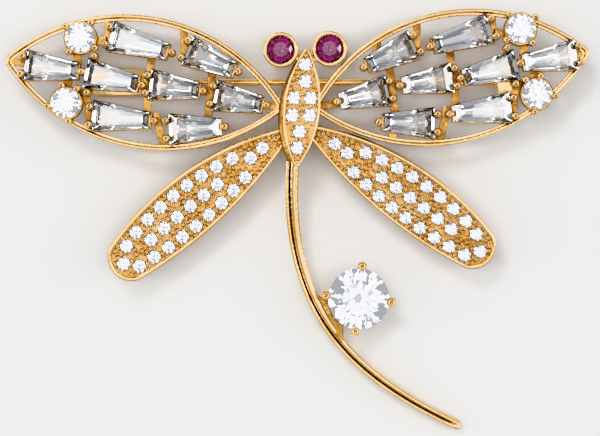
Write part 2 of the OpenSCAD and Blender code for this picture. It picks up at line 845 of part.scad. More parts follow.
module pave_stones(places, h) {
    for (p = places) translate([p.x, p.y, pave_z(h)]) round_stone(pave_d, 8);
}

module wing_pave(side) {
    color(clear_white) at_lower(side) pave_stones(lower_places, lower_h);
}

module body_pave() {
    color(clear_white) at_body() pave_stones(body_places, body_h);
}

gold_frame();
pin_stem();
hinge_rivet();
wing_pave(-1);  // left_pave
wing_pave(1);  // right_pave
body_pave();
eye_stone(-1);  // left_eye_stone
eye_stone(1);  // right_eye_stone
solitaire_stone();
for (i = STONES) {
    wing_baguette(-1, i);
    wing_baguette(1, i);
}
for (i = [1:len(rounds)]) {
    wing_round(-1, i);
    wing_round(1, i);
}
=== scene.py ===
"""Looks of the dragonfly brooch, laid over its CAD frame. Lengths are in millimetres until a mesh is
made. They repeat part.scad's, except that the tail's groove is finer here."""

import math

import bmesh
import bpy
from mathutils import Matrix, Vector


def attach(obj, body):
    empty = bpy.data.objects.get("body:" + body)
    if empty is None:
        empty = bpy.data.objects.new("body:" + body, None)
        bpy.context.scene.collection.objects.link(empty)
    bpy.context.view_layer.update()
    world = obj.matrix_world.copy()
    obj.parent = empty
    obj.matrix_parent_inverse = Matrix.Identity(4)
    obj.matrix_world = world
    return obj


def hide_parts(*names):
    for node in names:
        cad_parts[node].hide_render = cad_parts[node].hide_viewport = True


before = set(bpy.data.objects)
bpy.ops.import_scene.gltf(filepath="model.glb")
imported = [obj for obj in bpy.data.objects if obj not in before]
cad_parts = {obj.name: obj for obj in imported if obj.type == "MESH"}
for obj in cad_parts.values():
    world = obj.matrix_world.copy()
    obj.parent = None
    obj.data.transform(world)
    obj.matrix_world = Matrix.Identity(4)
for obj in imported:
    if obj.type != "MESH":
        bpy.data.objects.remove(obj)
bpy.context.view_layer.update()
MM = 0.001
HERE = Matrix()
# Values that differ from one side to the other have these as keys
SIDES = {"left": -1, "right": 1}

# Upper wings
WING_L = 28.8
WING_W = 13.35
WING_BLUNT = 0.3
WING_RISE = {-1: 0.12, 1: 0.25}
WING_TURN = {-1: 9.8, 1: 11.4}
WING_SINK = {-1: 0.25, 1: 1.0}
WING_RIM = 0.38
WING_LEDGE = 0.65
LEDGE_H = 0.5
WING_H = 1.1
SETTINGS_SHIFT = {-1: (0, 0), 1: (0.75, 0.15)}

# Lower wings
LOWER_L = 28.8
LOWER_RISE = 3.75
LOWER_DROP = 2.42
LOWER_TURN = {-1: 39.9, 1: 36.6}
LOWER_ROOT = {-1: (0.56, -1.51), 1: (-0.16, -1.28)}
LOWER_ROLL = 9
LOWER_H = 1.6
LOWER_TIP_R = 2.36
LOWER_TIP_OVER = 0.06

# Body
BODY_L = 12.4
BODY_W = 3.7
BODY_BLUNT = 0.3
BODY_LEAN = 5
BODY_H = 2.4
BODY_RIM = 0.26
FLANK_SHARE = 0.94
FLANK_W = 0.45
FLANK_H = 1.4
FLANK_LIFT = 0.1

# Eyes
EYE_D = 3.56
EYE_GAP = 4.9
EYES_RIGHT = 0.34
EYES_UP = 0.475
EYE_UNEVEN = 0.05
EYE_WALL = 0.36
EYE_H = 1.9
EYE_LEDGE = 0.5
EYE_SUNK = 0.35
STEM_UP = 0.39
STEM_OUT = 0.35
STEM_LIFT = 0.15

# Tail
TAIL_L = 26.8
TAIL_W = 1.35
TAIL_TIP_W = 0.95
TAIL_H = 1.1
TAIL_LEFT = 0.87
TAIL_DOWN = 0.42
TAIL_CURVE = ((0, 0), (-0.037, -0.526), (0.172, -0.79), (0.616, -1))
GROOVE = 0.12
GROOVE_H = 0.45
GROOVE_END = 0.03

# Stones
BAGUETTE_L = 6.0
WIDE = 3.1
NARROW = 1.6
CROWN = 0.42
PAVILION = 1.15
ROUND_D = 3.0
PAVE_D = 1.3
SOLITAIRE_D = 6.1
GIRDLE = 0.1
GAP = 0.05
CROWN_SHARE = 0.16
PAVILION_SHARE = 0.43
TABLE_SHARE = 0.56
STAR_SHARE = 0.78
LOWER_HALF_SHARE = 0.24

# Settings of the wings
PRONG_D = 0.56
PRONG_SPREAD = 0.29
BEAD_D = 0.76
RAIL = 0.4
BAR_W = 0.8
BAR_H = 0.4
BAR_LIFT = 0.05

# Pave plates
PAVE_RIM = 0.38
PAVE_RIM_H = 0.2
PAVE_PITCH = 1.73
ROW_GAP = 0.1
SEAT_SHARE = 0.3
SEAT_D = PAVE_D + 2 * GAP
GRAIN_D = 0.26
GRAIN_HEAD_D = 0.44
GRAIN_OUT = 0.16
GRAIN_APART = 0.46
GRAIN_TO_RIM = 0.12
GRAIN_GRID = 0.13

# Solitaire
SOLITAIRE_Z = 3.2
SOLITAIRE_OUT = 4.05
SOLITAIRE_SHARE = 0.483
SOLITAIRE_TURN = -6
BIG_PRONG_D = 0.7
BIG_BEAD_D = 0.95
LOW_RING, LOW_RING_D = 0.21, 0.6
TOP_RING, TOP_RING_D = 0.39, 0.5
BRACKET_W = 1.3
BRACKET_INNER_W = 0.2
BRACKET_H = 0.55
BRACKET_REACH = 0.1

# Hinge and catch
KNUCKLE_W = 1.0
RIVET_D = 0.6
RIVET_SEAT = 0.03
SIDE_GAP = 0.06
EAR_T = 0.55
EAR_W = 1.7
CATCH_BORE = 2.2
CATCH_MOUTH = 1.0
CATCH_L = 4.0
PLATE_H = 0.4
PLATE_OVER = 0.4
CATCH_PLATE_OVER = 2
CATCH_PLATE_W = 2.6
EASE = 0.08

# Places
BODY_AT = Vector((0.45, 11.29))
PIN_Z = 1.5
LOWER_Z = 2.1
BODY_Z = 2.7
BACK_Z = 2.8
TAIL_Z = 3.3
GIRDLE_Z = 4.5
HINGE_X = 21.2
CATCH_X = -20.4
PIN_Y = 13.99

# Along and across in shares of half the wing, turn, share of BAGUETTE_L, and whether the wide end's
# prongs stand beside its corners
BAGUETTES = (
    (0.647, -0.006, -3, 0.9, False),
    (0.224, -0.01, 2, 0.91, True),
    (0.112, -0.565, -5, 0.98, False),
    (0.076, 0.572, 5.4, 1, False),
    (-0.434, 0.515, 12.9, 0.86, False),
    (-0.217, 0.022, -2.8, 0.84, False),
    (-0.67, 0, 1, 0.82, False),
    (-0.405, -0.525, -12.5, 0.87, False),
)
# Along, across, and the directions of the prongs
ROUNDS = ((0.49, 0.515, (27, 117, 206, 297)), (0.511, -0.49, (68, 118, 250, 341)))
# Along and across, where a bar starts and where it ends
BARS = (
    (0.51, 0.34, 0.475, 0.11), (0.527, -0.1, 0.527, -0.3), (0.4, 0.48, 0.3, 0.57),
    (0.42, -0.24, 0.34, -0.5), (0.325, 0.87, 0.28, 0.4), (0.358, -0.46, 0.31, -0.86),
    (-0.016, 0.42, -0.034, 0.05), (-0.01, 0.08, -0.06, -0.45), (-0.105, -0.4, -0.22, -0.92),
    (-0.206, 0.93, -0.254, 0.42), (-0.45, 0.38, -0.48, -0.36), (-0.5, 0.76, -0.53, 0.58),
    (-0.52, -0.6, -0.53, -0.73),
)
# The two at the wing's ends, which don't shift with the settings
END_BARS = ((0.84, 0, 0.965, 0), (-0.965, 0, -0.77, 0))
# Start in shares of LOWER_L, side of the wing (0 is its middle), and number of stones
PAVE_ROWS = ((0.25, 1, 8), (0.347, 0, 6), (0.257, -1, 9))
# Along and across, in shares of LOWER_L
PAVE_SINGLES = ((0.145, 0.0175), (0.199, 0.0175), (0.727, 0.059), (0.774, 0.018))
# Along in shares of BODY_L and across in shares of BODY_W
BODY_STONES = (
    (0.348, 0), (0.213, 0.04), (0.073, -0.225), (0.083, 0.225),
    (-0.068, -0.23), (-0.057, 0.235), (-0.192, 0), (-0.325, -0.02),
)


# Points and places

def polar(r, degrees, z=0):
    return Vector((r * math.cos(math.radians(degrees)), r * math.sin(math.radians(degrees)), z))


def around(n):
    """n directions in degrees, all the way round."""
    return [360 * k / n for k in range(n)]


def in_wing(along, across):
    """A point given in shares of half the wing's length and width."""
    return Vector((along * WING_L / 2, across * WING_W / 2))


def move(x, y, z=0):
    return Matrix.Translation((x, y, z))


def to(spot, z=0):
    return move(spot.x, spot.y, z)


def turn(degrees, axis="Z"):
    return Matrix.Rotation(math.radians(degrees), 4, axis)


def from_body(side, z=0):
    """The body's middle, mirrored for the left side."""
    return to(BODY_AT, z) @ Matrix.Diagonal((side, 1, 1, 1))


def at_wing(side):
    root = move(BODY_W / 2 - WING_SINK[side], 0)
    return from_body(side) @ root @ turn(WING_TURN[side]) @ move(WING_L / 2, 0)


def at_settings(side):
    return at_wing(side) @ move(*SETTINGS_SHIFT[side])


def at_lower(side):
    root = move(*LOWER_ROOT[side])
    return from_body(side, LOWER_Z) @ root @ turn(-LOWER_TURN[side]) @ turn(LOWER_ROLL, "X")


AT_BODY = to(BODY_AT, BODY_Z) @ turn(90 - BODY_LEAN) @ move(-BODY_L / 2, 0)


# Shells: each is a list of points and a list of faces

def skin(rings, loop=False):
    """A shell through rings with as many points in each, capped at both ends or closed in a loop."""
    n = len(rings[0])
    points = [Vector(p) for ring in rings for p in ring]
    pairs = [(k, k + 1) for k in range(len(rings) - 1)]
    if loop:
        pairs.append((len(rings) - 1, 0))
    faces = [
        (a * n + i, a * n + (i + 1) % n, b * n + (i + 1) % n, b * n + i)
        for a, b in pairs
        for i in range(n)
    ]
    if not loop:
        faces += [tuple(range(n)), tuple((len(rings) - 1) * n + i for i in range(n))]
    return points, faces


def lathe(profile, n=32, loop=False):
    return skin([[polar(r, a, z) for a in around(n)] for r, z in profile], loop)


def inset(outline, d):
    """A convex outline moved in by d."""
    moved = []
    for i, p in enumerate(outline):
        before = (p - outline[i - 1]).normalized()
        after = (outline[(i + 1) % len(outline)] - p).normalized()
        inward = Vector((-before.y - after.y, before.x + after.x)).normalized()
        moved.append(p + inward * (d / inward.dot(Vector((-before.y, before.x)))))
    return moved


def slab(outline, bottom, top):
    """An outline, counter-clockwise and convex, between two heights, with eased edges."""
    steps = (
        (EASE, bottom), (0, bottom + EASE), (0, top - EASE), (EASE * 0.3, top - EASE * 0.3), (EASE, top),
    )
    return skin([[(p.x, p.y, z) for p in inset(outline, d)] for d, z in steps])


def bar(start, end, bottom, high):
    """A flat bar from start to end."""
    across = (end - start).normalized().orthogonal() * (BAR_W / 2)
    return slab([start - across, end - across, end + across, start + across], bottom, bottom + high)


WIRE_SIDES = 16


def tube(path, r):
    """A round wire through points."""
    rings = []
    side = None
    for i, p in enumerate(path):
        run = (path[min(i + 1, len(path) - 1)] - path[max(i - 1, 0)]).normalized()
        side = (side - run * side.dot(run)).normalized() if side else run.orthogonal().normalized()
        up = run.cross(side)
        rings.append([p + side * polar(r, a).x + up * polar(r, a).y for a in around(WIRE_SIDES)])
    return skin(rings)


# The dimple in a head, from its lip down, as distances from its axis and its middle in shares of its
# radius
DIMPLE = ((0.42, 0.84), (0.36, 0.6), (0.28, 0.3))
DIMPLE_LOW = 0.2
# Where the head's round turns in to the lip, in degrees over its middle
LIP = 58


def bead(d, foot, top, head, n=20):
    """A prong of wire d from z = foot up to a round head at z = top, with a dimple in its crown."""
    r = head / 2
    low = -math.degrees(math.acos(min(1, d / head)))
    profile = [(d / 2, foot)]
    for k in range(10):
        spot = polar(r, low + (LIP - low) * k / 9)
        profile.append((spot.x, top + spot.y))
    profile += [(out * r, top + up * r) for out, up in DIMPLE]
    profile.append((0.02, top + DIMPLE_LOW * r))
    return lathe(profile, n)


# Outlines of the leaves

def arc_r(length, rise):
    return (length * length / 4 + rise * rise) / (2 * rise)


def arc_y(length, rise, d, x):
    """How far across an arc lies at x, once it is moved in by d."""
    r = arc_r(length, rise)
    return math.sqrt((r - d) ** 2 - (x - length / 2) ** 2) - (r - rise)


def arc_middles(length, up, down):
    return (
        Vector((length / 2, up - arc_r(length, up))),
        Vector((length / 2, arc_r(length, down) - down)),
    )


def leaves_circle(start, way, middle, r):
    """How far a ray from start runs until it leaves a circle, or None where it misses it."""
    rel = start - middle
    half = rel.dot(way)
    inside = half * half - rel.length_squared + r * r
    return -half + math.sqrt(inside) if inside > 0 else None


def leaf_circles(length, up, down, blunt):
    """The middles and radii of a leaf's two arcs, and of the circle that blunts its ends."""
    upper, lower = arc_middles(length, up, down)
    circles = [(upper, arc_r(length, up)), (lower, arc_r(length, down))]
    if blunt:
        circles.append((Vector((length / 2, 0)), length / 2 - blunt))
    return circles


def leaf_ring(length, up, down, d, z, blunt=None, tip=None, n=220):
    """The outline, moved in by d and at height z, of a leaf between two arcs over the line from [0, 0]
    to [length, 0]. blunt is how much a circle round its middle takes off both ends. tip is the middle
    and radius of a circle that rounds the far end."""
    start = Vector((length * 0.47, (up - down) / 2))
    circles = leaf_circles(length, up, down, blunt)
    upper, lower = circles[0][0], circles[1][0]
    ring = []
    for i in range(n):
        a = 2 * math.pi * i / n
        way = Vector((length * math.cos(a), (up + down) * math.sin(a))).normalized()
        far = min(leaves_circle(start, way, middle, r - d) for middle, r in circles)
        if tip:
            cut = leaves_circle(start, way, tip[0], tip[1] - d)
            spoke = start + way * cut - tip[0] if cut else None
            if cut and (tip[0] - upper).cross(spoke) < 0 < (tip[0] - lower).cross(spoke):
                far = min(far, cut)
        p = start + way * far
        ring.append((p.x, p.y, z))
    return ring


def leaf_depth(p, length, up, down, blunt=None, tip=None):
    """How far a point lies inside the same outline."""
    circles = leaf_circles(length, up, down, blunt)
    if tip and p.x > tip[0].x:
        circles.append(tip)
    return min(r - (p - middle).length for middle, r in circles)


def lower_tip():
    """The middle of the circle that touches both arcs of a lower wing."""
    upper, lower = arc_middles(LOWER_L, LOWER_RISE, LOWER_DROP)
    up, down = arc_r(LOWER_L, LOWER_RISE) - LOWER_TIP_R, arc_r(LOWER_L, LOWER_DROP) - LOWER_TIP_R
    y = (up * up - down * down - upper.y ** 2 + lower.y ** 2) / (2 * (lower.y - upper.y))
    return Vector((LOWER_L / 2 + math.sqrt(up * up - (y - upper.y) ** 2), y))


LOWER_LEAF = {
    "length": LOWER_L, "up": LOWER_RISE, "down": LOWER_DROP,
    "tip": (lower_tip(), LOWER_TIP_R + LOWER_TIP_OVER),
}
BODY_LEAF = {"length": BODY_L, "up": BODY_W / 2, "down": BODY_W / 2, "blunt": BODY_BLUNT}


# Stones

def brilliant(d, arcs=4):
    """A full-cut round brilliant: a table, 8 stars, 8 kites and 16 upper halves over the girdle, and 16
    lower halves and 8 mains under it."""
    r = d / 2
    # Half of the girdle's height at the corners of the halves, where it is thickest
    edge = 0.03 + 0.0087 * d
    top, low = GIRDLE / 2 + d * CROWN_SHARE, -GIRDLE / 2 - d * PAVILION_SHARE
    table_r, star_r, half_r = r * TABLE_SHARE, r * STAR_SHARE, r * LOWER_HALF_SHARE
    slope = (top - edge) / (r - table_r)
    cos = math.cos(math.radians(22.5))
    points = [polar(table_r, 45 * k, top) for k in range(8)]
    points += [polar(star_r, 45 * k + 22.5, top - (star_r * cos - table_r) * slope) for k in range(8)]
    points += [polar(half_r, 45 * k + 22.5, low + half_r * cos * (-edge - low) / r) for k in range(8)]
    points.append(Vector((0, 0, low)))
    faces = [tuple(range(8))]
    rims = []
    n = 16 * arcs
    for inner, z in ((8, edge), (16, -edge)):
        first = len(points)
        for h in range(16):
            a, b = polar(r, 22.5 * h, z), polar(r, 22.5 * h + 22.5, z)
            tip = points[inner + h // 2]
            normal = (a - tip).cross(b - tip)
            for j in range(arcs):
                p = polar(r, 22.5 * (h + j / arcs))
                p.z = z - (normal.x * (p.x - a.x) + normal.y * (p.y - a.y)) / normal.z
                points.append(p)
        rims.append([first + i for i in range(n)])
        for h in range(16):
            faces.append((inner + h // 2, *(first + (h * arcs + j) % n for j in range(arcs + 1))))
    faces += [(rims[0][i], rims[0][(i + 1) % n], rims[1][(i + 1) % n], rims[1][i]) for i in range(n)]
    for k in range(8):
        faces.append((k, 8 + k, (k + 1) % 8))
        faces.append((k, 8 + (k - 1) % 8, rims[0][2 * k * arcs], 8 + k))
        faces.append((24, 16 + (k - 1) % 8, rims[1][2 * k * arcs], 16 + k))
    return points, faces


def tapered(length, side, end, z):
    """Four corners of a tapered outline, grown by side and end, with the wide end towards +X."""
    x = length / 2 + end
    slope = (WIDE - NARROW) / (2 * length)
    middle = (WIDE + NARROW) / 4 + side
    wide, narrow = middle + slope * x, middle - slope * x
    return [Vector(p) for p in ((x, -wide, z), (x, wide, z), (-x, narrow, z), (-x, -narrow, z))]


def below(length, end, side, depth):
    """Four corners under a tapered outline, moved in from its ends and sides and down in shares of its
    half width there, so that the long facets between two such rings are flat and meet along a sloping
    keel."""
    slope, middle = (WIDE - NARROW) / (2 * length), (WIDE + NARROW) / 4
    corners = []
    for x, signs in ((length / 2 - end * WIDE / 2, (-1, 1)), (end * NARROW / 2 - length / 2, (1, -1))):
        half = middle + slope * x
        corners += [Vector((x, s * half * (1 - side), -GIRDLE / 2 - half * depth)) for s in signs]
    return corners


def baguette(length):
    """A tapered baguette: step-cut facets over its girdle and long ones that run to a keel under it."""
    high = GIRDLE / 2
    pavilion = ((1.6, 0.97, 0.86), (1.15, 0.7, 0.67), (0.6, 0.36, 0.38))
    crown = (
        (0, 0, -high), (0, 0, high), (-0.15, -0.3, high + CROWN * 0.36),
        (-0.28, -0.55, high + CROWN * 0.7), (-0.45, -0.8, high + CROWN),
    )
    return skin([below(length, *b) for b in pavilion] + [tapered(length, *s) for s in crown])


# Pieces

# Edges between faces that meet at more degrees than this stay sharp
SHARP_FROM = 38


def shade(mesh, flat=False):
    mesh.polygons.foreach_set("use_smooth", [not flat] * len(mesh.polygons))
    if not flat:
        mesh.set_sharp_from_angle(angle=math.radians(SHARP_FROM))


def new_mesh(name, parts, flat=False):
    """A mesh of shells, each with its place, brought from millimetres to metres."""
    work = bmesh.new()
    for (points, faces), place in parts:
        verts = [work.verts.new((place @ Vector(p).to_3d()) * MM) for p in points]
        for face in faces:
            work.faces.new([verts[i] for i in face])
    bmesh.ops.recalc_face_normals(work, faces=work.faces[:])
    mesh = bpy.data.meshes.new(name)
    work.to_mesh(mesh)
    work.free()
    shade(mesh, flat)
    return mesh


def in_scene(name, data):
    made = bpy.data.objects.new(name, data)
    bpy.context.scene.collection.objects.link(made)
    return made


def piece(name, parts, material, slot, *nodes, flat=False):
    """A piece that rides on the brooch and stands for CAD nodes, if any are named."""
    made = in_scene(name, new_mesh(name, parts, flat))
    made.data.materials.append(material)
    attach(made, "brooch")
    if nodes:
        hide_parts(*nodes)
    return made


def drill(target, cutters):
    """Cuts shells that don't touch each other out of a piece."""
    tool = in_scene("drill", new_mesh("drill", cutters))
    cut = target.modifiers.new("drill", "BOOLEAN")
    cut.object, cut.operation, cut.solver, cut.use_self = tool, "DIFFERENCE", "EXACT", True
    ready = target.evaluated_get(bpy.context.evaluated_depsgraph_get())
    mesh = bpy.data.meshes.new_from_object(ready)
    target.modifiers.remove(cut)
    target.data = mesh
    shade(mesh)
    bpy.data.objects.remove(tool)


# Materials

# How often each pattern repeats to a millimetre. Real polishing marks and paper tooth are too fine to
# show, so the waves and the tooth are drawn coarser.
TONES = 0.42
WEAR = 1.5
WAVES = 2.6
HAZE = 0.9
TOOTH = 0.3
# Painted shade, mixed into the gold wherever ambient occlusion finds a recess
PAINTED_SHADE_BROWN = "#6E3C10"


def linear(hex_colour):
    """A linear colour from an sRGB hex string."""
    parts = [int(hex_colour[i:i + 2], 16) / 255 for i in (1, 3, 5)]
    return (*(c / 12.92 if c <= 0.04045 else ((c + 0.055) / 1.055) ** 2.4 for c in parts), 1)


def add_node(tree, kind, inputs=(), **settings):
    """A node with its settings, and inputs given as values or as sockets to link."""
    made = tree.nodes.new(kind)
    for key, value in settings.items():
        setattr(made, key, value)
    for key, value in dict(inputs).items():
        if isinstance(value, bpy.types.NodeSocket):
            tree.links.new(value, made.inputs[key])
        else:
            made.inputs[key].default_value = value
    return made


def new_material(name):
    """A material, its node tree, and the place on the object that its patterns follow."""
    material = bpy.data.materials.new(name)
    material.use_nodes = True
    tree = material.node_tree
    tree.nodes.clear()
    return material, tree, add_node(tree, "ShaderNodeTexCoord").outputs["Object"]


def gold_plate(name, light, deep, rough, waves):
    """Gold plating over a casting. It shows soft waves that the polish left, a slightly uneven gloss, a
    deeper tone where the plating is thicker, and painted shade: dark brown in recesses, from ambient
    occlusion."""
    material, tree, place = new_material(name)
    tone = add_node(tree, "ShaderNodeTexNoise", {"Vector": place, "Scale": TONES / MM, "Detail": 3})
    plating = add_node(tree, "ShaderNodeValToRGB", {"Fac": tone.outputs["Fac"]})
    for end, position, colour in zip(plating.color_ramp.elements, (0.35, 0.65), (deep, light)):
        end.position = position
        end.color = linear(colour)
    # Painted shade: ambient occlusion darkens the gold towards brown in recesses and grooves
    shade_ao = add_node(tree, "ShaderNodeAmbientOcclusion", {"Distance": 0.4 * MM}, samples=8)
    depth = add_node(tree, "ShaderNodeMapRange", {
        "Value": shade_ao.outputs["AO"], "From Min": 0.15, "From Max": 0.65,
    })
    colour = add_node(tree, "ShaderNodeMix", {
        "Factor": depth.outputs["Result"], "A": linear(PAINTED_SHADE_BROWN), "B": plating.outputs["Color"],
    }, data_type="RGBA")
    wear = add_node(tree, "ShaderNodeTexNoise", {"Vector": place, "Scale": WEAR / MM, "Detail": 4})
    gloss = add_node(tree, "ShaderNodeMapRange", {
        "Value": wear.outputs["Fac"], "To Min": rough * 0.6, "To Max": rough * 1.5,
    })
    wave = add_node(tree, "ShaderNodeTexNoise", {"Vector": place, "Scale": WAVES / MM, "Detail": 2})
    bump = add_node(tree, "ShaderNodeBump", {
        "Height": wave.outputs["Fac"], "Strength": waves, "Distance": 0.06 * MM,
    })
    metal = add_node(tree, "ShaderNodeBsdfPrincipled", {
        "Base Color": colour.outputs["Result"], "Metallic": 1, "Roughness": gloss.outputs["Result"],
        "Normal": bump.outputs["Normal"],
    })
    add_node(tree, "ShaderNodeOutputMaterial", {"Surface": metal.outputs["BSDF"]})
    return material


def cut_stone(name, colour, ior, haze):
    """A polished stone: clean facets with a trace of haze, and a colour that deepens with thickness."""
    material, tree, place = new_material(name)
    polish = add_node(tree, "ShaderNodeTexNoise", {"Vector": place, "Scale": HAZE / MM, "Detail": 2})
    gloss = add_node(tree, "ShaderNodeMapRange", {
        "Value": polish.outputs["Fac"], "To Min": 0, "To Max": haze,
    })
    glass = add_node(tree, "ShaderNodeBsdfPrincipled", {
        "Base Color": linear(colour), "Transmission Weight": 1, "IOR": ior,
        "Roughness": gloss.outputs["Result"],
    })
    add_node(tree, "ShaderNodeOutputMaterial", {"Surface": glass.outputs["BSDF"]})
    return material


# Buffed bright: rims, prongs, bezels, tail, pin and back fittings
GOLD = gold_plate("polished_gold_plate", "#F9DAA4", "#EFC382", rough=0.13, waves=0.35)
# Satin, with softer lights and a darker colour as painted shade: cradles, collets and the ground between
# the small stones
SATIN_AND_SHADED_GOLD = gold_plate("satin_and_shaded_gold_plate", "#E3B878", "#BE9054", rough=0.24, waves=0.8)
# Plated as cast, so duller, and browner as painted shade: bars, the solitaire's bracket and the body's
# left side
CAST_AND_SHADED_GOLD = gold_plate("cast_and_shaded_gold_plate", "#C0965A", "#86602F", rough=0.3, waves=1)
# Colourless, with bright facets from its high index
CLEAR = cut_stone("clear_cubic_zirconia", "#FBFCFF", ior=2.15, haze=0.02)
# Wine red, and darkest where it is thick
RUBY = cut_stone("ruby_red_stone", "#5A043C", ior=1.77, haze=0.03)


def stone(name, shell, place, node, material=CLEAR, slot="clear_stone"):
    """A single stone, with sharp edges between its facets."""
    piece(name, [(shell, place)], material, slot, node, flat=True)


# Upper wings

BEAD_Z = GIRDLE_Z + BEAD_D * 0.42
PRONG_FOOT = BACK_Z + 0.2
CRADLE_TOP = GIRDLE_Z - GIRDLE / 2 - PAVILION * 0.6 - GAP
LUG = (
    (PRONG_D * 0.7, BACK_Z), (PRONG_D * 0.75, BACK_Z + 0.06),
    (PRONG_D * 0.75, CRADLE_TOP - 0.1), (PRONG_D * 0.6, CRADLE_TOP),
)


def wing_ring(side, d, z):
    up, down = WING_W / 2 + WING_RISE[side], WING_W / 2 - WING_RISE[side]
    ring = leaf_ring(WING_L, up, down, d, z, blunt=WING_BLUNT)
    return [(x - WING_L / 2, y, z) for x, y, z in ring]


def wing_rim(name, side):
    """A thin rim wall on its foot ledge."""
    high, wall, foot = WING_H, WING_RIM, WING_LEDGE
    profile = (
        (0.06, 0), (0, 0.07), (0, high - 0.16), (0.04, high - 0.05), (0.11, high), (wall - 0.13, high),
        (wall - 0.04, high - 0.05), (wall, high - 0.15), (wall, LEDGE_H + 0.06), (wall + 0.05, LEDGE_H),
        (foot - 0.07, LEDGE_H), (foot, LEDGE_H - 0.08), (foot, 0.05), (foot - 0.05, 0),
    )
    rings = [wing_ring(side, d, BACK_Z + z) for d, z in profile]
    piece(f"{name}_upper_wing_rim", [(skin(rings, loop=True), at_wing(side))], GOLD, "gold")


def wing_bars(name, side):
    """Flat bars that join the settings to each other and to the rim."""
    lines = [(b, at_settings(side)) for b in BARS] + [(b, at_wing(side)) for b in END_BARS]
    bars = []
    for (x0, y0, x1, y1), place in lines:
        bars.append((bar(in_wing(x0, y0), in_wing(x1, y1), BACK_Z + BAR_LIFT, BAR_H), place))
    # Painted shade: the bars take the darker, browner gold
    piece(f"{name}_upper_wing_bars", bars, CAST_AND_SHADED_GOLD, "gold")


def cradle(length):
    """Rails that follow a baguette's first step, with an eased inner lip."""
    side, end = -NARROW * 0.2, -WIDE * 0.15
    out, top = RAIL + side, CRADLE_TOP
    profile = (
        (out - 0.05, out - 0.05, BACK_Z), (out, out, BACK_Z + 0.06), (out, out, top - 0.08),
        (out - 0.06, out - 0.06, top), (side + 0.05, end + 0.05, top), (side, end, top - 0.07),
        (side, end, BACK_Z),
    )
    return skin([tapered(length, *p) for p in profile], loop=True)


def collet():
    """A short collet under a round stone, a gap below its pavilion."""
    outer, bore = (ROUND_D + PRONG_D * 0.7) / 2, ROUND_D / 2 - RAIL
    top = GIRDLE_Z - GIRDLE / 2 - ROUND_D * PAVILION_SHARE * (RAIL + GAP) / (ROUND_D / 2)
    profile = (
        (outer - 0.05, BACK_Z), (outer, BACK_Z + 0.06), (outer, top - 0.12), (outer - 0.1, top),
        (bore + 0.05, top), (bore, top - 0.06), (bore, BACK_Z),
    )
    return lathe(profile, 48, loop=True)


def prong_places(length, beside):
    """Two at a baguette's wide end, and one at its narrow end."""
    out = PRONG_D / 2 + GAP
    if beside:
        wide = [Vector((length / 2 - PRONG_D, s * (WIDE / 2 + out * 0.9))) for s in (-1, 1)]
    else:
        wide = [Vector((length / 2 + out, s * WIDE * PRONG_SPREAD)) for s in (-1, 1)]
    return wide + [Vector((-length / 2 - out, 0))]


def upper_wing(name, side):
    wing_rim(name, side)
    wing_bars(name, side)
    settings, prongs = [], []
    head = bead(PRONG_D, PRONG_FOOT, BEAD_Z, BEAD_D)
    for i, (along, across, angle, share, beside) in enumerate(BAGUETTES, 1):
        length = share * BAGUETTE_L
        place = at_settings(side) @ to(in_wing(along, across)) @ turn(angle)
        settings.append((cradle(length), place))
        for p in prong_places(length, beside):
            settings.append((lathe(LUG, 20), place @ to(p)))
            prongs.append((head, place @ to(p)))
        at_girdle = place @ move(0, 0, GIRDLE_Z)
        stone(f"{name}_tapered_stone_{i}", baguette(length), at_girdle, f"{name}_baguette_{i}")
    for i, (along, across, angles) in enumerate(ROUNDS, 1):
        place = at_settings(side) @ to(in_wing(along, across))
        settings.append((collet(), place))
        prongs += [(head, place @ to(polar(ROUND_D / 2 + GAP + PRONG_D / 2, a))) for a in angles]
        at_girdle = place @ move(0, 0, GIRDLE_Z)
        stone(f"{name}_round_stone_{i}", brilliant(ROUND_D), at_girdle, f"{name}_round_{i}")
    # Painted shade: cradles and collets under the stones take the darker satin gold
    piece(f"{name}_upper_wing_settings", settings, SATIN_AND_SHADED_GOLD, "gold")
    piece(f"{name}_upper_wing_prongs", prongs, GOLD, "gold")


# Pave plates

def row_y(side, x):
    """How far across a row lies: along the upper arc, the lower arc or midway."""
    line = PAVE_RIM + SEAT_D / 2 + ROW_GAP
    upper, lower = arc_y(LOWER_L, LOWER_RISE, line, x), -arc_y(LOWER_L, LOWER_DROP, line, x)
    return {1: upper, -1: lower, 0: (upper + lower) / 2}[side]


def lower_places():
    places = [Vector((x * LOWER_L, y * LOWER_L)) for x, y in PAVE_SINGLES]
    for first, side, count in PAVE_ROWS:
        for i in range(count):
            x = first * LOWER_L + i * PAVE_PITCH
            places.append(Vector((x, row_y(side, x))))
    return places


def body_places():
    return [Vector(((x + 0.5) * BODY_L, -y * BODY_W)) for x, y in BODY_STONES]


def pave_plate(name, leaf, place, places, high, rim):
    """A plate with a raised rim and a drilled seat for each stone. Its ground lies a little deeper than
    the solid's, so that the grains stand out from it."""
    bed = high - PAVE_RIM_H
    profile = (
        (0.07, 0), (0, 0.08), (0, high - 0.1), (0.03, high - 0.03), (0.09, high), (rim - 0.08, high),
        (rim - 0.02, high - 0.04), (rim, bed - 0.1),
    )
    rings = [leaf_ring(d=d, z=z, **leaf) for d, z in profile]
    plate = piece(f"{name}_plate", [(skin(rings), place)], GOLD, "gold")
    bore, seat = PAVE_D * SEAT_SHARE, bed - PAVE_D * SEAT_SHARE
    bit = ((bore, -0.2), (bore, seat), (SEAT_D / 2, seat), (SEAT_D / 2, bed + 0.1))
    drill(plate, [(lathe(bit), place @ to(p)) for p in places])
    # Painted shade: the low ground between the stones and grains takes the darker satin gold
    plate.data.materials.append(SATIN_AND_SHADED_GOLD)
    back = place.inverted()
    for face in plate.data.polygons:
        spot = back @ (face.center / MM)
        if spot.z < bed - 0.05 and leaf_depth(spot.to_2d(), **leaf) > rim - 0.02:
            face.material_index = 1


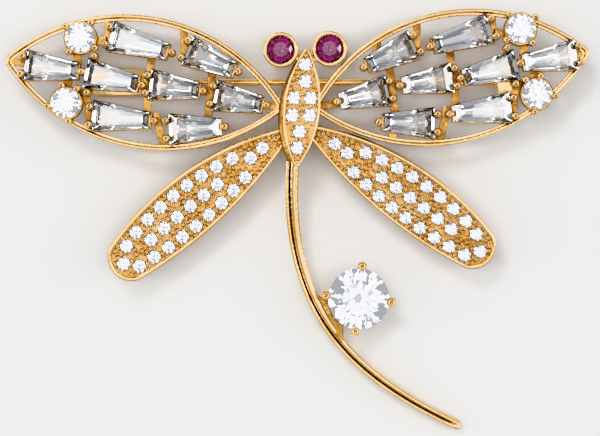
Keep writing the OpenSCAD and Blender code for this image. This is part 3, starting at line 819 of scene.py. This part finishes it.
def grains(places, leaf, rim):
    """Places of the grains, wherever no stone, rim or other grain is in the way: first round each stone,
    then over the rest of the plate."""
    reach = SEAT_D / 2 + GRAIN_OUT
    grid = range(int(leaf["length"] / GRAIN_GRID))
    tries = [spot + polar(reach, a).to_2d() for spot in places for a in around(24)]
    tries += [Vector((x * GRAIN_GRID, y * GRAIN_GRID)) for x in grid for y in range(-30, 30)]
    found = []
    for p in tries:
        clear_of_rim = leaf_depth(p, **leaf) > rim + GRAIN_TO_RIM
        if clear_of_rim and min((q - p).length for q in places) > reach - 0.01:
            if min(((q - p).length for q in found), default=1) > GRAIN_APART:
                found.append(p)
    return found


def pave(name, leaf, place, places, high, rim, node):
    """A pave plate, the grains raised round its stones to hold them, and the stones."""
    pave_plate(name, leaf, place, places, high, rim)
    bed = high - PAVE_RIM_H
    grain = bead(GRAIN_D, bed - 0.15, bed + 0.22, GRAIN_HEAD_D, 14)
    piece(f"{name}_grains", [(grain, place @ to(p)) for p in grains(places, leaf, rim)], GOLD, "gold")
    girdle_z = bed + GIRDLE / 2 + GAP
    stones = [(brilliant(PAVE_D, 2), place @ to(p, girdle_z)) for p in places]
    piece(f"{name}_stones", stones, CLEAR, "clear_stone", node, flat=True)


# Body and eyes

def body_flank():
    """The band along the body's left side, under its plate's edge, with a rounded top."""
    high = FLANK_H
    steps = ((0.1, 0), (0, 0.1), (0, high - 0.45), (0.08, high - 0.2), (0.24, high - 0.06), (0.45, high))
    foot = BACK_Z + FLANK_LIFT - BODY_Z
    rings = [leaf_ring(BODY_L * FLANK_SHARE, BODY_W / 2, BODY_W / 2, d, foot + z) for d, z in steps]
    # Painted shade: the band takes the darker, browner gold, as it lies under the plate's edge
    piece("body_flank", [(skin(rings), AT_BODY @ move(0, FLANK_W))], CAST_AND_SHADED_GOLD, "gold")


def eye(name, side):
    """A bezel whose lip folds over its stone, on a short stem from the body."""
    middle = BODY_AT + Vector((EYES_RIGHT + side * EYE_GAP / 2, BODY_L * EYES_UP + side * EYE_UNEVEN))
    upright = polar(1, 90 - BODY_LEAN).to_2d()
    on_body = BODY_AT + BODY_L * STEM_UP * upright + Vector((side * STEM_OUT, 0))
    towards = (on_body - middle).normalized()
    r, bore = EYE_D / 2, EYE_D / 2 - EYE_WALL
    stone_d = 2 * (bore - GAP)
    inner = stone_d / 2 - EYE_LEDGE
    top = BACK_Z + EYE_H
    girdle_z = top - EYE_SUNK
    ledge = girdle_z - GIRDLE / 2 - stone_d * PAVILION_SHARE * EYE_LEDGE / (stone_d / 2) - GAP
    bezel = (
        (r - 0.06, BACK_Z), (r, BACK_Z + 0.07), (r, top - 0.2), (r - 0.02, top - 0.1),
        (r - 0.06, top - 0.03), (r - 0.11, top), (bore + 0.08, top), (bore + 0.02, top - 0.03),
        (bore - 0.03, top - 0.1), (bore - 0.02, girdle_z + 0.1), (bore, girdle_z + 0.08), (bore, ledge),
        (inner, ledge), (inner, BACK_Z),
    )
    stem = bar(middle + towards * (r - EYE_WALL), on_body, BACK_Z + STEM_LIFT, EYE_H / 2)
    parts = [(lathe(bezel, 64, loop=True), to(middle)), (stem, HERE)]
    piece(f"{name}_eye_bezel", parts, GOLD, "gold")
    stone(f"{name}_eye_red_stone", brilliant(stone_d), to(middle, girdle_z), f"{name}_eye_stone",
          RUBY, "red_stone")


# Tail

TAIL_ROOT = BODY_AT + Vector((-TAIL_LEFT, -BODY_L * TAIL_DOWN))
TAIL_TILT = math.asin(TAIL_Z / (TAIL_L + TAIL_TIP_W / 2))
# Shares across a band, and how much lower its rounded top is there
DOME = ((0, 0.24), (0.07, 0.1), (0.22, 0.03), (0.5, 0), (0.78, 0.03), (0.93, 0.1), (1, 0.24))


def tail_at(t):
    """A point of the tail's curve, at a share t of it."""
    s = 1 - t
    weights = (s ** 3, 3 * s * s * t, 3 * s * t * t, t ** 3)
    return TAIL_L * sum((w * Vector(c) for w, c in zip(weights, TAIL_CURVE)), Vector((0, 0)))


def tail_normal(t):
    run = tail_at(min(1, t + 1e-4)) - tail_at(max(0, t - 1e-4))
    return Vector((-run.y, run.x)).normalized()


def tail_plan(t):
    """The same point seen from over the tilted tail."""
    p = tail_at(t)
    return TAIL_ROOT + Vector((p.x, p.y * math.cos(TAIL_TILT)))


def dome(a, b, start=1, end=1):
    """The rounded top of a band from a to b. start and end are shares of the full drop at its edges."""
    return [(a + (b - a) * f, TAIL_H - drop * (start if f < 0.5 else end)) for f, drop in DOME]


def tail_ring(t, ahead=0, narrow=1):
    """The tail's section at t: two bands with a groove between them, which closes up before the tip.
    ahead and narrow move it past the curve's end and make it narrower there."""
    half = (TAIL_W + (TAIL_TIP_W - TAIL_W) * t) / 2 * narrow
    middle = half * (-0.4 + 0.4 * t)
    cut = GROOVE / 2 * narrow
    opening = min(1, (1 - t) / GROOVE_END)
    across = tail_normal(t)
    forward = Vector((across.y, -across.x))
    profile = [(0.06 - half, 0), (-half, 0.07)] + dome(-half, middle - cut, end=opening)
    profile.append((middle, TAIL_H - GROOVE_H * opening))
    profile += dome(middle + cut, half, start=opening) + [(half, 0.07), (half - 0.06, 0)]
    return [(*(tail_at(t) + across * u + forward * ahead), z) for u, z in profile]


def tail():
    rings = [tail_ring(k / 90) for k in range(91)]
    for degrees in (15, 30, 45, 58, 70, 79):
        a = math.radians(degrees)
        rings.append(tail_ring(1, TAIL_TIP_W / 2 * math.sin(a), math.cos(a)))
    place = to(TAIL_ROOT, TAIL_Z) @ turn(math.degrees(TAIL_TILT), "X")
    piece("tail_bands", [(skin(rings), place)], GOLD, "gold")


# Solitaire

AT_SOLITAIRE = (
    to(tail_plan(SOLITAIRE_SHARE) + SOLITAIRE_OUT * tail_normal(SOLITAIRE_SHARE)) @ turn(SOLITAIRE_TURN)
)
HEAD_SLOPE = math.atan(2 * PAVILION_SHARE)


def head_z(r):
    """How high the head's wires run at r from its axis: along the stone's pavilion, a gap below it."""
    pavilion_z = SOLITAIRE_Z - GIRDLE / 2 - SOLITAIRE_D * PAVILION_SHARE + r * math.tan(HEAD_SLOPE)
    return pavilion_z - (BIG_PRONG_D / 2 + 1.5 * GAP) / math.cos(HEAD_SLOPE)


def head_ring(share, d):
    """A wire ring that joins the prongs."""
    r = SOLITAIRE_D * share
    wire = [polar(d / 2, a) for a in around(WIRE_SIDES)]
    return lathe([(r + p.x, head_z(r) + p.y) for p in wire], 64, loop=True)


def solitaire():
    """A head of four prongs and two rings, its bracket on the tail, and the stone."""
    foot, elbow = SOLITAIRE_D * LOW_RING, (SOLITAIRE_D + BIG_PRONG_D) / 2 + GAP
    head_x = elbow - BIG_PRONG_D * 0.25
    reach = BIG_BEAD_D / 2 + GAP
    up = SOLITAIRE_Z + GIRDLE / 2 + math.sqrt(reach ** 2 - (head_x - SOLITAIRE_D / 2) ** 2)
    bends = [(x, head_z(x)) for x in (foot, (foot + elbow) / 2, elbow - 0.3)]
    bends.append((elbow - 0.05, head_z(elbow - 0.05) + 0.03))
    bends += [(elbow, head_z(elbow) + 0.3), (elbow, up - 0.3)]
    wire = tube([Vector((x, 0, z)) for x, z in bends], BIG_PRONG_D / 2)
    head = bead(BIG_PRONG_D * 0.9, up - 0.45, up, BIG_BEAD_D, 32)
    rings = ((LOW_RING, LOW_RING_D), (TOP_RING, TOP_RING_D))
    parts = [(head_ring(share, d), AT_SOLITAIRE) for share, d in rings]
    for a in around(4):
        parts.append((wire, AT_SOLITAIRE @ turn(a)))
        parts.append((head, AT_SOLITAIRE @ turn(a) @ move(head_x, 0)))
    piece("solitaire_head", parts, GOLD, "gold")

    start, end = tail_plan(SOLITAIRE_SHARE - BRACKET_REACH), tail_plan(SOLITAIRE_SHARE + BRACKET_REACH)
    run = end - start
    z = head_z(SOLITAIRE_D * TOP_RING) - BRACKET_H / 2
    steps = ((0.07, 0), (0, 0.08), (0, BRACKET_H - 0.12), (0.05, BRACKET_H - 0.02), (0.12, BRACKET_H))
    plate = skin([leaf_ring(run.length, BRACKET_W, BRACKET_INNER_W, d, z + h, n=90) for d, h in steps])
    along_tail = to(start) @ turn(math.degrees(math.atan2(run.y, run.x)))
    # Painted shade: the bracket under the stone takes the darker, browner gold
    piece("solitaire_bracket", [(plate, along_tail)], CAST_AND_SHADED_GOLD, "gold")
    at_girdle = AT_SOLITAIRE @ move(0, 0, SOLITAIRE_Z)
    stone("solitaire_brilliant", brilliant(SOLITAIRE_D, 6), at_girdle, "solitaire_stone")


# Hinge and catch

def back_plate(x, length, width):
    corners = [(-1, -1), (1, -1), (1, 1), (-1, 1)]
    outline = [Vector((x + i * length / 2, PIN_Y + j * width / 2)) for i, j in corners]
    return slab(outline, BACK_Z - PLATE_H / 2, BACK_Z + PLATE_H / 2), HERE


def ear_ring(d, z):
    """The outline of a hinge ear round its bore, moved in by d: square at its plate, round at its foot."""
    r, roof = EAR_W / 2 - d, BACK_Z - PIN_Z - d
    foot = Vector((0, EAR_W / 2 - PIN_Z))
    ring = []
    for a in around(64):
        way = polar(1, a).to_2d()
        to_side = r / abs(way.x) if abs(way.x) > 1e-6 else math.inf
        to_roof = roof / way.y if way.y > 1e-6 else math.inf
        far = min(to_side, to_roof)
        if way.y * far < foot.y:
            far = leaves_circle(Vector((0, 0)), way, foot, r)
        ring.append((*(way * far), z))
    return ring


def ear(bottom):
    """A hinge ear with the bore of the rivet through it."""
    top = bottom + EAR_T
    steps = ((0.05, bottom), (0, bottom + 0.05), (0, top - 0.05), (0.05, top))
    rings = [ear_ring(d, z) for d, z in steps]
    rings += [[polar(RIVET_D / 2 + RIVET_SEAT, a, z) for a in around(64)] for z in (top, bottom)]
    return skin(rings, loop=True)


def hinge():
    out = KNUCKLE_W / 2 + SIDE_GAP
    place = move(HINGE_X, PIN_Y, PIN_Z) @ turn(90, "X")
    parts = [back_plate(HINGE_X, EAR_W + PLATE_OVER, 2 * (out + EAR_T) + PLATE_OVER)]
    parts += [(ear(bottom), place) for bottom in (out, -out - EAR_T)]
    piece("hinge_ears", parts, GOLD, "gold")


def catch():
    """An open C hook that the pin's point springs into, with its mouth to the back."""
    inner, outer, end = CATCH_BORE / 2, PIN_Z, CATCH_L
    section = (
        (inner, EASE), (inner + EASE, 0), (outer - EASE, 0), (outer, EASE),
        (outer, end - EASE), (outer - EASE, end), (inner + EASE, end), (inner, end - EASE),
    )
    gape = math.degrees(math.asin(CATCH_MOUTH / (outer + inner)))
    rings = []
    for k in range(41):
        way = polar(1, -90 + gape + (360 - 2 * gape) * k / 40)
        rings.append([(CATCH_X + x, PIN_Y + r * way.x, PIN_Z + r * way.y) for r, x in section])
    plate = back_plate(CATCH_X + CATCH_L / 2, CATCH_L + CATCH_PLATE_OVER, CATCH_PLATE_W)
    piece("catch_hook", [(skin(rings), HERE), plate], GOLD, "gold")


for name, side in SIDES.items():
    upper_wing(name, side)
    wing = f"{name}_lower_wing"
    pave(wing, LOWER_LEAF, at_lower(side), lower_places(), LOWER_H, PAVE_RIM, f"{name}_pave")
    eye(name, side)
pave("body", BODY_LEAF, AT_BODY, body_places(), BODY_H, BODY_RIM, "body_pave")
body_flank()
tail()
solitaire()
hinge()
catch()
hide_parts("gold_frame")
for name in ("pin_stem", "hinge_rivet"):
    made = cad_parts[name]
    made.data.materials.clear()
    made.data.materials.append(GOLD)


# Floor, light and camera

# Name, place and size in metres, and power in watts
SOFTBOXES = (
    ("key", (-0.25, 0.45, 0.75), (0.28, 0.22), 2.4),
    ("left_box", (-0.34, 0.05, 0.85), (0.26, 0.6), 1.7),
    ("right_box", (0.34, -0.05, 0.85), (0.26, 0.6), 1.5),
    ("overhead", (0, 0, 1), (0.2, 0.2), 0.19),
    ("front_box", (0, -0.27, 0.9), (0.24, 0.24), 0.36),
    ("left_strip", (-0.7, -0.05, 0.3), (0.12, 0.6), 1.4),
    ("right_strip", (0.7, 0.1, 0.35), (0.12, 0.5), 1.4),
)
CAMERA_AT = Vector((0.275, 0.29, 304.4))


def pale_card():
    """Matt card, which shows a slight unevenness and no gloss."""
    material, tree, place = new_material("pale_card")
    tooth = add_node(tree, "ShaderNodeTexNoise", {"Vector": place, "Scale": TOOTH / MM, "Detail": 3})
    bump = add_node(tree, "ShaderNodeBump", {
        "Height": tooth.outputs["Fac"], "Strength": 0.1, "Distance": 0.1 * MM,
    })
    card = add_node(tree, "ShaderNodeBsdfPrincipled", {
        "Base Color": linear("#E3E2E0"), "Roughness": 0.8, "Normal": bump.outputs["Normal"],
    })
    add_node(tree, "ShaderNodeOutputMaterial", {"Surface": card.outputs["BSDF"]})
    return material


def floor():
    """A card six metres wide under the brooch."""
    mesh = bpy.data.meshes.new("floor")
    mesh.from_pydata([(-3, -3, 0), (3, -3, 0), (3, 3, 0), (-3, 3, 0)], [], [(0, 1, 2, 3)])
    mesh.materials.append(pale_card())
    in_scene("floor", mesh)


def softbox(name, at, size, power):
    """An area light that faces the brooch."""
    data = bpy.data.lights.new(name, "AREA")
    data.shape, data.size, data.size_y, data.energy = "RECTANGLE", *size, power
    made = in_scene(name, data)
    made.location = at
    made.rotation_euler = (-Vector(at)).to_track_quat("-Z", "Y").to_euler()


def studio():
    """A pale grey room round the brooch."""
    world = bpy.data.worlds.new("studio")
    world.use_nodes = True
    room = world.node_tree.nodes["Background"].inputs
    room["Color"].default_value = linear("#D6D9DD")
    room["Strength"].default_value = 0.76
    bpy.context.scene.world = world


def camera():
    """A long lens straight over the brooch, as in the photograph."""
    view = bpy.data.cameras.new("camera")
    view.sensor_width, view.lens = 36, 180
    view.clip_start = 0.01
    made = in_scene("camera", view)
    made.location = CAMERA_AT * MM
    bpy.context.scene.camera = made


floor()
for box in SOFTBOXES:
    softbox(*box)
studio()
camera()
bpy.context.scene.view_settings.view_transform = "Khronos PBR Neutral"
